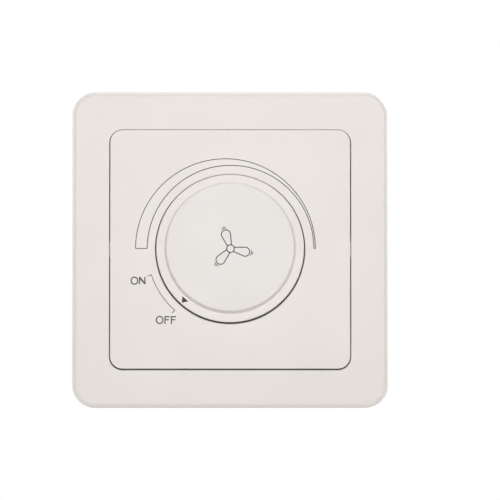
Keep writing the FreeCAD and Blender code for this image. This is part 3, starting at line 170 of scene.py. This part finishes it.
def rolledGrainGroup():
    # rolled sheet: long streaks one way, with a few cloudy patches
    group, nodes, links, given, put = newGroup("rolledGrain", {"Stretch": "Vector", "Patch": "Float"},
                                               ("Tone", "Height"))
    place = nodes.new("ShaderNodeTexCoord").outputs["Object"]
    mapping = nodes.new("ShaderNodeMapping")
    links.new(place, mapping.inputs["Vector"])
    links.new(given["Stretch"], mapping.inputs["Scale"])
    streak, patch = noiseOn(nodes, links, mapping.outputs["Vector"], 4), noiseOn(nodes, links, place, 2)
    streak.inputs["Scale"].default_value = 1  # the mapping has stretched it
    links.new(given["Patch"], patch.inputs["Scale"])
    tone = blendOf(nodes, links, grainShares["patchInRolled"], streak.outputs["Fac"], patch.outputs["Fac"])
    links.new(tone, put["Tone"])
    links.new(streak.outputs["Fac"], put["Height"])
    return group


def turnedRingsGroup():
    # lathe marks round an axis along y through the origin of the vector given
    group, nodes, links, given, put = newGroup("turnedRings", {"Vector": "Vector", "Rings": "Float"},
                                               ("Tone", "Height"))
    turns = maths(nodes, links, "MULTIPLY", axisReach(nodes, links, given["Vector"]), given["Rings"])
    ring = maths(nodes, links, "MULTIPLY_ADD", maths(nodes, links, "SINE", turns, 0), 0.5)
    ring.node.inputs[2].default_value = 0.5  # a sine brought into 0 to 1
    noise = noiseOn(nodes, links, given["Vector"], 2)
    noise.inputs["Scale"].default_value = grainShares["turnedNoise"]
    tone = blendOf(nodes, links, grainShares["noiseInTurned"], ring, noise.outputs["Fac"])
    links.new(tone, put["Tone"])
    links.new(ring, put["Height"])
    return group


def spanMaskGroup():
    # one where the place along a direction lies between low and high, in metres
    group, nodes, links, given, put = newGroup(
        "spanMask", {"Along": "Vector", "Low": "Float", "High": "Float"}, ("Mask",))
    place = nodes.new("ShaderNodeTexCoord").outputs["Object"]
    along = nodes.new("ShaderNodeVectorMath")
    along.operation = "DOT_PRODUCT"
    links.new(place, along.inputs[0])
    links.new(given["Along"], along.inputs[1])
    above = maths(nodes, links, "GREATER_THAN", along.outputs["Value"], given["Low"])
    below = maths(nodes, links, "LESS_THAN", along.outputs["Value"], given["High"])
    links.new(maths(nodes, links, "MULTIPLY", above, below), put["Mask"])
    return group


mouldGrain = mouldGrainGroup()
rolledGrain = rolledGrainGroup()
turnedRings = turnedRingsGroup()
spanMask = spanMaskGroup()
axes = {"across": (1, 0, 0), "wallward": (0, 1, 0), "up": (0, 0, 1)}


def newMaterial(name):
    material = bpy.data.materials.new(name)
    material.use_nodes = True
    nodes = material.node_tree.nodes
    return material, nodes, material.node_tree.links, nodes["Principled BSDF"]


def placeGroup(nodes, group, values):
    node = nodes.new("ShaderNodeGroup")
    node.node_tree = group
    for title, value in values.items():
        node.inputs[title].default_value = value
    return node


def colourMix(nodes, links, share, first, second):
    mix = nodes.new("ShaderNodeMix")
    mix.data_type = "RGBA"
    links.new(share, mix.inputs["Factor"])
    for socket, colour in zip((mix.inputs[6], mix.inputs[7]), (first, second)):
        if isinstance(colour, tuple):
            socket.default_value = (*colour, 1)
        else:
            links.new(colour, socket)
    return mix.outputs[2]


def spread(nodes, links, value, limits, given=(0, 1)):
    # a value that runs between given, made to run between limits
    reach = nodes.new("ShaderNodeMapRange")
    reach.inputs["From Min"].default_value, reach.inputs["From Max"].default_value = given
    reach.inputs["To Min"].default_value, reach.inputs["To Max"].default_value = limits
    links.new(value, reach.inputs["Value"])
    return reach.outputs["Result"]


def bumpOn(nodes, links, shader, height, strength, distance):
    bump = nodes.new("ShaderNodeBump")
    bump.inputs["Strength"].default_value = strength
    bump.inputs["Distance"].default_value = distance * mm
    links.new(height, bump.inputs["Height"])
    links.new(bump.outputs["Normal"], shader.inputs["Normal"])


def shaded(colour, share):
    return tuple(part * share for part in colour)


def grainFinish(name, look, grain):
    # colour and gloss follow the grain's tone, and its height is felt in the surface
    material, nodes, links, shader = newMaterial(name)
    grainNode = placeGroup(nodes, *grain)
    tone = grainNode.outputs["Tone"]
    tint = colourMix(nodes, links, tone, look["colour"], shaded(look["colour"], look["shade"]))
    links.new(tint, shader.inputs["Base Color"])
    links.new(spread(nodes, links, tone, look["roughness"]), shader.inputs["Roughness"])
    bumpOn(nodes, links, shader, grainNode.outputs["Height"], look["bump"], look["deep"])
    shader.inputs["Metallic"].default_value = look.get("metallic", 0)
    shader.inputs["Specular IOR Level"].default_value = look.get("specular", 0.5)
    shader.inputs["Coat Weight"].default_value = look.get("coat", 0)
    return material, nodes, links, shader, tint


def moulded(name, look):
    return grainFinish(name, look, (mouldGrain, {"Pebble": look["pebble"], "Drift": look["drift"]}))


def rolled(name, look):
    return grainFinish(name, look, (rolledGrain, {"Stretch": look["stretch"], "Patch": look["patch"]}))


def turned(name, look, middle=(0, 0, 0), folded=False):
    # a folded pattern serves the four screws that mirror each other across both planes
    made = grainFinish(name, look, (turnedRings, {"Rings": look["rings"]}))
    nodes, links = made[1:3]
    ringNode = next(node for node in nodes if node.type == "GROUP")
    place = nodes.new("ShaderNodeTexCoord").outputs["Object"]
    if folded:
        fold = nodes.new("ShaderNodeVectorMath")
        fold.operation = "ABSOLUTE"
        links.new(place, fold.inputs[0])
        place = fold.outputs[0]
    centre = nodes.new("ShaderNodeMapping")
    centre.inputs["Location"].default_value = [-part * mm for part in middle]
    links.new(place, centre.inputs["Vector"])
    links.new(centre.outputs["Vector"], ringNode.inputs["Vector"])
    return made


def spanOn(nodes, axis, low, high):
    values = {"Along": axes[axis], "Low": low * mm, "High": high * mm}
    return placeGroup(nodes, spanMask, values).outputs["Mask"]


def outOf(nodes, links, mask):
    return maths(nodes, links, "SUBTRACT", 1, mask)


def metalWhere(made, mask, colour):
    # bare leads, caps and tabs on a part that is one solid with its body
    nodes, links, shader, tint = made[1:]
    links.new(colourMix(nodes, links, mask, tint, colour), shader.inputs["Base Color"])
    links.new(mask, shader.inputs["Metallic"])


plasticLook = {"colour": (0.812, 0.773, 0.743), "shade": 0.993, "pebble": 4200, "drift": 60,
               "roughness": (0.36, 0.46), "bump": 0.12, "deep": 0.004, "specular": 0.35}
platePlastic = moulded("platePlastic", plasticLook)[0]
knobPlastic = moulded("knobPlastic", {**plasticLook, "colour": (0.806, 0.771, 0.745), "drift": 85})[0]

housingLook = {"colour": (0.05, 0.051, 0.055), "shade": 0.8, "pebble": 3000, "drift": 90,
               "roughness": (0.42, 0.58), "bump": 0.4, "deep": 0.012, "specular": 0.4}
housingPlastic = moulded("housingPlastic", housingLook)[0]
# a near-black yoke: painted shade, so that the gaps round the cover and the knob, which look through to it,
# read dark
gapShadeYokeLook = {"colour": (0.042, 0.037, 0.034), "shade": 0.7, "pebble": 1600, "drift": 140,
            "roughness": (0.35, 0.5), "bump": 0.3, "deep": 0.01, "specular": 0.4}
gapShadeYoke = moulded("gapShadeYoke", gapShadeYokeLook)[0]

screwLook = {"colour": (0.66, 0.66, 0.655), "shade": 0.82, "rings": 16000, "roughness": (0.2, 0.38),
             "bump": 0.25, "deep": 0.004, "metallic": 1}
housingScrew = turned("housingScrew", screwLook, (20.6, 0, 23.6), folded=True)[0]
clampScrew = turned("clampScrew", screwLook, (5, 0, 21.8), folded=True)[0]
tabScrew = turned("tabScrew", screwLook, (-12, 0, 22.6))[0]
zincWasher = turned("zincWasher", screwLook)[0]
sheetLook = {"colour": (0.64, 0.64, 0.625), "shade": 0.8, "stretch": (400, 400, 9000), "patch": 220,
             "roughness": (0.24, 0.42), "bump": 0.15, "deep": 0.003, "metallic": 1}
zincSheet = rolled("zincSheet", sheetLook)[0]
springLook = {**sheetLook, "colour": (0.4, 0.41, 0.45), "shade": 0.7, "stretch": (9000, 300, 300),
              "patch": 500}
springSteel = rolled("springSteel", springLook)[0]
castLook = {"colour": (0.6, 0.6, 0.59), "shade": 0.85, "pebble": 2600, "drift": 240,
            "roughness": (0.3, 0.5), "bump": 0.3, "deep": 0.01, "metallic": 1}
castZinc = moulded("castZinc", castLook)[0]
brassColour = (0.78, 0.6, 0.3)
brassNut = turned("brassNut", {**screwLook, "colour": brassColour})[0]
brassSheet = rolled("brassSheet", {**sheetLook, "colour": brassColour, "stretch": (300, 6000, 6000)})[0]

brownLook = {"colour": (0.2, 0.1, 0.05), "shade": 0.75, "pebble": 2200, "drift": 300,
             "roughness": (0.35, 0.55), "bump": 0.25, "deep": 0.008, "specular": 0.45}
switchMoulding = moulded("switchMoulding", brownLook)[0]
terminalLook = {"colour": (0.68, 0.68, 0.64), "shade": 0.95, "pebble": 2600, "drift": 160,
                "roughness": (0.38, 0.52), "bump": 0.2, "deep": 0.006, "specular": 0.4}
terminalMoulding = moulded("terminalMoulding", terminalLook)[0]
boardLook = {"colour": (0.05, 0.2, 0.07), "shade": 0.75, "stretch": (2200, 2200, 2200), "patch": 120,
             "roughness": (0.28, 0.4), "bump": 0.2, "deep": 0.006, "coat": 0.3}
boardLaminate = rolled("boardLaminate", boardLook)[0]
padLook = {**terminalLook, "colour": (0.55, 0.55, 0.52), "roughness": (0.5, 0.7)}
padFilm = moulded("padFilm", padLook)[0]
ferriteLook = {"colour": (0.055, 0.055, 0.06), "shade": 0.7, "pebble": 5200, "drift": 700,
               "roughness": (0.45, 0.65), "bump": 0.5, "deep": 0.012}
ferrite = moulded("ferrite", ferriteLook)[0]
copperLook = {**sheetLook, "colour": (0.62, 0.26, 0.11), "shade": 0.6, "stretch": (250, 5200, 250),
              "patch": 300, "coat": 0.7}
enamelledCopper = rolled("enamelledCopper", copperLook)[0]

# parts whose leads, caps or tab are one solid with the body; a span has its two ends,
# a band its start and its width
tinColour, carbonColour = (0.66, 0.65, 0.62), (0.012, 0.012, 0.013)
partSpans = {"filmLeads": (16.0, 60.0), "resinUp": (10.0, 19.2), "resinDeep": (1.7, 60.0),
             "resistorBody": (-19.2, -12.8),
             "resistorBands": ((-18.5, 0.7), (-17.1, 0.7), (-15.7, 0.7), (-13.7, 0.5)),
             "diodeBody": (12.8, 16.8), "diodeBand": (13.3, 0.8), "fuseTube": (-7.0, 3.0),
             "trackRing": (3.4, 5.9)}
bandColours = ((0.12, 0.04, 0.015), (0.012, 0.012, 0.012), (0.55, 0.16, 0.02), (0.5, 0.34, 0.08))


def makeFilmCover():
    look = {**terminalLook, "colour": (0.6, 0.3, 0.035), "shade": 0.9, "roughness": (0.18, 0.3),
            "specular": 0.5}
    made = moulded("filmCover", look)
    metalWhere(made, spanOn(made[1], "wallward", *partSpans["filmLeads"]), tinColour)
    return made[0]


def makeTriacResin():
    look = {**housingLook, "colour": (0.028, 0.028, 0.03), "roughness": (0.4, 0.55)}
    made = moulded("triacResin", look)
    nodes, links = made[1:3]
    tall = spanOn(nodes, "up", *partSpans["resinUp"])
    deep = spanOn(nodes, "wallward", *partSpans["resinDeep"])
    resin = maths(nodes, links, "MULTIPLY", tall, deep)
    metalWhere(made, outOf(nodes, links, resin), tinColour)
    return made[0]


def makeAxial(name, look, body, bands):
    made = moulded(name, look)
    material, nodes, links, shader, tint = made
    for (start, wide), colour in bands:
        tint = colourMix(nodes, links, spanOn(nodes, "across", start, start + wide), tint, colour)
    inside = spanOn(nodes, "across", *body)
    metalWhere((material, nodes, links, shader, tint), outOf(nodes, links, inside), tinColour)
    return material


def makeFuseTube():
    look = {**terminalLook, "colour": (0.74, 0.76, 0.75), "shade": 0.92, "roughness": (0.08, 0.16)}
    made = moulded("fuseTube", look)
    nodes, links = made[1:3]
    tube = spanOn(nodes, "up", *partSpans["fuseTube"])
    metalWhere(made, outOf(nodes, links, tube), tinColour)
    return made[0]


def makeWafer():
    # brown laminate with the carbon track that the wiper runs on
    look = {**brownLook, "colour": (0.26, 0.13, 0.05)}
    material, nodes, links, shader, tint = moulded("waferLaminate", look)
    reach = axisReach(nodes, links, nodes.new("ShaderNodeTexCoord").outputs["Object"])
    low, high = partSpans["trackRing"]
    outside = maths(nodes, links, "GREATER_THAN", reach, low * mm)
    inside = maths(nodes, links, "LESS_THAN", reach, high * mm)
    ring = maths(nodes, links, "MULTIPLY", outside, inside)
    links.new(colourMix(nodes, links, ring, tint, carbonColour), shader.inputs["Base Color"])
    return material


filmCover = makeFilmCover()
triacResin = makeTriacResin()
lacquerLook = {**terminalLook, "colour": (0.52, 0.42, 0.27), "shade": 0.9, "roughness": (0.22, 0.36)}
resistorLacquer = makeAxial("resistorLacquer", lacquerLook, partSpans["resistorBody"],
                            zip(partSpans["resistorBands"], bandColours))
diodeLook = {**terminalLook, "colour": (0.5, 0.16, 0.05), "shade": 0.8, "roughness": (0.08, 0.15)}
diodeGlass = makeAxial("diodeGlass", diodeLook, partSpans["diodeBody"],
                       [(partSpans["diodeBand"], bandColours[1])])
fuseTube = makeFuseTube()
waferLaminate = makeWafer()

slotFinish = {
    "plate_plastic": platePlastic, "knob_plastic": knobPlastic, "yoke_steel": gapShadeYoke,
    "screw_steel": zincSheet, "spring_steel": springSteel, "housing_plastic": housingPlastic,
    "cast_zinc": castZinc, "turned_brass": brassSheet, "wafer_laminate": waferLaminate,
    "switch_moulding": switchMoulding, "board_laminate": boardLaminate, "semiconductor": triacResin,
    "pad_film": padFilm, "ferrite": ferrite, "copper_wire": enamelledCopper, "film_case": filmCover,
    "resistor_body": resistorLacquer, "fuse_glass": fuseTube, "terminal_moulding": terminalMoulding,
}
nodeFinish = {
    "housing_screws": housingScrew, "terminal_screw_left": clampScrew,
    "terminal_screw_right": clampScrew, "triac_screw": tabScrew, "triac_nut": tabScrew,
    "pot_washer": zincWasher, "pot_nut": brassNut, "trigger_diode": diodeGlass,
}
for row in frame["record"]["subparts"]:
    mesh = frame["nodes"][row["node"]].data
    mesh.materials.clear()
    mesh.materials.append(nodeFinish.get(row["node"]) or slotFinish[row["material_slot"]])
print("finishes set:", len(bpy.data.materials), "materials")


# prints: a film of ink on the cover and the knob, sunk a little so that nothing shows under it
inkLook = {"colour": (0.05, 0.047, 0.047), "shade": 0.9, "pebble": 9000, "drift": 400,
           "roughness": (0.5, 0.65), "bump": 0.1, "deep": 0.002, "specular": 0.3}
printInk = moulded("printInk", inkLook)[0]
wordInk = moulded("wordInk", {**inkLook, "colour": (0.09, 0.085, 0.083)})[0]
printLevels = {"cover": 8.85, "skirt": 9.65, "grip": 18.85, "thick": 0.012, "sunk": 0.01}


def printOn(bm, name, body, ink=printInk):
    inkBody(bm, printLevels["thick"] + printLevels["sunk"])
    addPiece(bm, name, body, ink)


scaleSizes = {"innerMiddle": (0.105, -0.05), "innerRadius": 22.672, "innerLine": 0.225,
              "outerMiddle": (-1.273, -0.045), "outerRadius": 24.453, "outerLine": 0.21, "ends": -0.03}


def makeSpeedScale():
    # two arcs that draw apart towards the fast end, closed at both ends
    bm = bmesh.new()
    s, level = scaleSizes, printLevels["cover"] - printLevels["sunk"]
    for arc in ("inner", "outer"):
        middle, radius = s[arc + "Middle"], s[arc + "Radius"]
        lean = math.degrees(math.asin((s["ends"] - middle[1]) / radius))  # both arcs end on one level
        inkArc(bm, middle, radius, s[arc + "Line"], lean, 180 - lean, level)
    for sign in (-1, 1):
        near = (s["innerMiddle"][0] + sign * s["innerRadius"], s["ends"])
        far = (s["outerMiddle"][0] + sign * s["outerRadius"], s["ends"])
        inkLine(bm, near, far, s["outerLine"], level)
    printOn(bm, "speedScale", "base")


bracketSizes = {"radius": 22.61, "start": 198.5, "end": 228.2, "tick": 1.05, "line": 0.185}


def makeBracket():
    bm = bmesh.new()
    s, level = bracketSizes, printLevels["cover"] - printLevels["sunk"]
    inkArc(bm, (0, 0), s["radius"], s["line"], s["start"], s["end"], level)
    for turn in (s["start"], s["end"]):
        near = onCircle((0, 0), s["radius"] - s["line"] / 2, turn)
        inkLine(bm, near, onCircle((0, 0), s["radius"] + s["tick"], turn), s["line"], level)
    printOn(bm, "onOffBracket", "base")


# letters have their left, low, wide and tall; the bar's rise and reach are shares of an F's tall and wide
letterSizes = {"stroke": 0.34, "roundWide": 2.12, "roundTall": 2.24, "barRise": 0.46, "barReach": 0.86}
wordSizes = {"onWord": {"round": (-26.03, -8.79), "letters": (("N", -24.81, -9.78, 1.79, 2.04),)},
             "offWord": {"round": (-19.17, -19.47), "letters": (("F", -17.87, -20.57, 1.42, 2.14),
                                                               ("F", -16.13, -20.57, 1.42, 2.14))}}


def letterCorners(letter, wide, tall):
    stroke = letterSizes["stroke"]
    if letter == "N":
        return [(0, 0), (stroke, 0), (stroke, tall - 2 * stroke), (wide - stroke, 0), (wide, 0),
                (wide, tall), (wide - stroke, tall), (wide - stroke, 2 * stroke), (stroke, tall), (0, tall)]
    bar, reach = letterSizes["barRise"] * tall, letterSizes["barReach"] * wide
    return [(0, 0), (stroke, 0), (stroke, bar), (reach, bar), (reach, bar + stroke), (stroke, bar + stroke),
            (stroke, tall - stroke), (wide, tall - stroke), (wide, tall), (0, tall)]


def makeWord(name):
    bm = bmesh.new()
    s, level = letterSizes, printLevels["cover"] - printLevels["sunk"]
    middle = wordSizes[name]["round"]
    inkArc(bm, middle, (s["roundTall"] - s["stroke"]) / 2, s["stroke"], 0, 360, level)
    bmesh.ops.scale(bm, verts=bm.verts, vec=(s["roundWide"] / s["roundTall"], 1, 1),
                    space=Matrix.Translation(-spot(*middle, level)))
    for letter, left, low, wide, tall in wordSizes[name]["letters"]:
        corners = letterCorners(letter, wide, tall)
        inkShape(bm, [(left + across, low + up) for across, up in corners], level)
    printOn(bm, name, "base", wordInk)


pointerSizes = {"turn": 228.4, "tip": 19.77, "base": 18.34, "half": 1.1}


def makePointer():
    bm = bmesh.new()
    s = pointerSizes
    lean = math.degrees(math.atan2(s["half"], s["base"]))
    wide = math.hypot(s["half"], s["base"])
    corners = [onCircle((0, 0), s["tip"], s["turn"]), onCircle((0, 0), wide, s["turn"] + lean),
               onCircle((0, 0), wide, s["turn"] - lean)]
    inkShape(bm, corners, printLevels["skirt"] - printLevels["sunk"])
    printOn(bm, "pointerMark", "turning_knob")


# tips are the blades' turns; arcs are the marks off a blade's tip, each with its radius, half sweep and line
fanSizes = {"middle": (0.095, -0.44), "hub": 1.02, "line": 0.265, "tips": (-12, 108, 228),
            "tipReach": 4.02, "tipRadius": 1.22, "root": 0.56, "arcs": ((1.72, 24, 0.2), (2.06, 11, 0.17))}


def makeFanSign():
    bm = bmesh.new()
    s, level = fanSizes, printLevels["grip"] - printLevels["sunk"]
    inkArc(bm, s["middle"], s["hub"], s["line"], 0, 360, level)
    half = 90 + math.degrees(math.asin((s["tipRadius"] - s["root"]) / (s["tipReach"] - s["hub"])))
    rootTurn = math.degrees(math.asin(s["root"] / s["hub"]))
    for tip in s["tips"]:
        tipMiddle = onCircle(s["middle"], s["tipReach"], tip)
        inkArc(bm, tipMiddle, s["tipRadius"], s["line"], tip - half, tip + half, level)
        for sign in (-1, 1):
            near = onCircle(s["middle"], s["hub"], tip + sign * rootTurn)
            inkLine(bm, near, onCircle(tipMiddle, s["tipRadius"], tip + sign * half), s["line"], level)
        for radius, sweep, line in s["arcs"]:
            inkArc(bm, tipMiddle, radius, line, tip - sweep, tip + sweep, level)
    printOn(bm, "fanSign", "turning_knob")


makeSpeedScale()
makeBracket()
for word in wordSizes:
    makeWord(word)
makePointer()
makeFanSign()
print("prints made")


# the stage, in metres: a pale floor below the plate, which fades to white towards its rim, a white surround,
# a small key in front that is turned up, and panels above, beside and behind
stageLook = {"floorLevel": -0.1, "floorRadius": 0.75, "floorSides": 128, "floorColour": (0.6, 0.582, 0.564),
             "floorRoughness": 0.9, "floorWhite": 0.8, "floorFade": (0.2, 0.6), "fill": 0.34}


def whiteForCamera(nodes, links):
    # one for what the camera sees, straight, mirrored or through glass
    path = nodes.new("ShaderNodeLightPath").outputs
    straight = maths(nodes, links, "MAXIMUM", path["Is Camera Ray"], path["Is Glossy Ray"])
    return maths(nodes, links, "MAXIMUM", straight, path["Is Transmission Ray"])


def makeFloor():
    bm = bmesh.new()
    bmesh.ops.create_circle(bm, cap_ends=True, segments=stageLook["floorSides"],
                            radius=stageLook["floorRadius"],
                            matrix=Matrix.Translation((0, 0, stageLook["floorLevel"])))
    mesh = bpy.data.meshes.new("floor")
    bm.to_mesh(mesh)
    bm.free()
    floor = bpy.data.objects.new("floor", mesh)
    bpy.context.scene.collection.objects.link(floor)
    material, nodes, links, shader = newMaterial("floorPaper")
    shader.inputs["Base Color"].default_value = (*stageLook["floorColour"], 1)
    shader.inputs["Roughness"].default_value = stageLook["floorRoughness"]
    reach = nodes.new("ShaderNodeVectorMath")
    reach.operation = "LENGTH"
    links.new(nodes.new("ShaderNodeTexCoord").outputs["Object"], reach.inputs[0])
    white = spread(nodes, links, reach.outputs["Value"], (stageLook["floorWhite"], 1), stageLook["floorFade"])
    glow, mix = nodes.new("ShaderNodeEmission"), nodes.new("ShaderNodeMixShader")
    links.new(maths(nodes, links, "MULTIPLY", whiteForCamera(nodes, links), white), mix.inputs["Fac"])
    links.new(shader.outputs[0], mix.inputs[1])
    links.new(glow.outputs[0], mix.inputs[2])
    # clear from below, so that the plate's underside can be seen
    side, clear, seen = (nodes.new("ShaderNodeNewGeometry"), nodes.new("ShaderNodeBsdfTransparent"),
                         nodes.new("ShaderNodeMixShader"))
    links.new(side.outputs["Backfacing"], seen.inputs["Fac"])
    links.new(mix.outputs[0], seen.inputs[1])
    links.new(clear.outputs[0], seen.inputs[2])
    links.new(seen.outputs[0], nodes["Material Output"].inputs["Surface"])
    mesh.materials.append(material)


def makeWorld():
    world = bpy.data.worlds.new("studio")
    world.use_nodes = True
    bpy.context.scene.world = world
    nodes, links = world.node_tree.nodes, world.node_tree.links
    nodes.clear()
    out, mix = nodes.new("ShaderNodeOutputWorld"), nodes.new("ShaderNodeMixShader")
    fill, white = nodes.new("ShaderNodeBackground"), nodes.new("ShaderNodeBackground")
    fill.inputs["Strength"].default_value = stageLook["fill"]
    for background in (fill, white):
        background.inputs["Color"].default_value = (1, 1, 1, 1)
    links.new(whiteForCamera(nodes, links), mix.inputs["Fac"])
    links.new(fill.outputs[0], mix.inputs[1])
    links.new(white.outputs[0], mix.inputs[2])
    links.new(mix.outputs[0], out.inputs["Surface"])


lamps = {
    "keyPanel": {"place": (0.0, -1.2, 0.0), "aim": (-0.3, 0.0, 4.0), "size": 0.16, "power": 20.96},
    "topPanel": {"place": (0.0, 0.05, 1.1), "aim": (0, 0, 0), "size": 0.1, "power": 4.0},
    "leftPanel": {"place": (-1.0, 0.3, 0.1), "aim": (0, 0, 0), "size": 0.3, "power": 3.1},
    "rightPanel": {"place": (1.0, 0.3, 0.1), "aim": (0, 0, 0), "size": 0.3, "power": 2.9},
    "backPanel": {"place": (0.9, 0.9, 0.7), "aim": (0, 0, 0), "size": 0.35, "power": 12.0},
}


def makeLamps():
    for name, look in lamps.items():
        data = bpy.data.lights.new(name, "AREA")
        data.shape = "DISK"
        data.size = look["size"]
        data.energy = look["power"]
        lamp = bpy.data.objects.new(name, data)
        lamp.location = look["place"]
        aim = Vector(look["aim"]) - Vector(look["place"])
        lamp.rotation_euler = aim.to_track_quat("-Z", "Y").to_euler()
        bpy.context.scene.collection.objects.link(lamp)


# the camera stands a little below the knob's axis: distances in metres, the drop in degrees
cameraLook = {"distance": 0.9, "drop": 2.063, "lens": 236.05, "sensor": 36, "clip": (0.05, 20),
              "aim": (0.005402, -0.0074, -0.000394)}


def makeCamera():
    data = bpy.data.cameras.new("camera")
    data.lens, data.sensor_width = cameraLook["lens"], cameraLook["sensor"]
    data.clip_start, data.clip_end = cameraLook["clip"]
    camera = bpy.data.objects.new("camera", data)
    away = cameraLook["distance"]
    camera.location = (0, -away, -away * math.tan(math.radians(cameraLook["drop"])))
    aim = Vector(cameraLook["aim"]) - camera.location
    camera.rotation_euler = aim.to_track_quat("-Z", "Y").to_euler()
    bpy.context.scene.collection.objects.link(camera)
    bpy.context.scene.camera = camera


makeFloor()
makeWorld()
makeLamps()
makeCamera()
bpy.context.scene.view_settings.view_transform = "Standard"
print("stage, lamps and camera set")
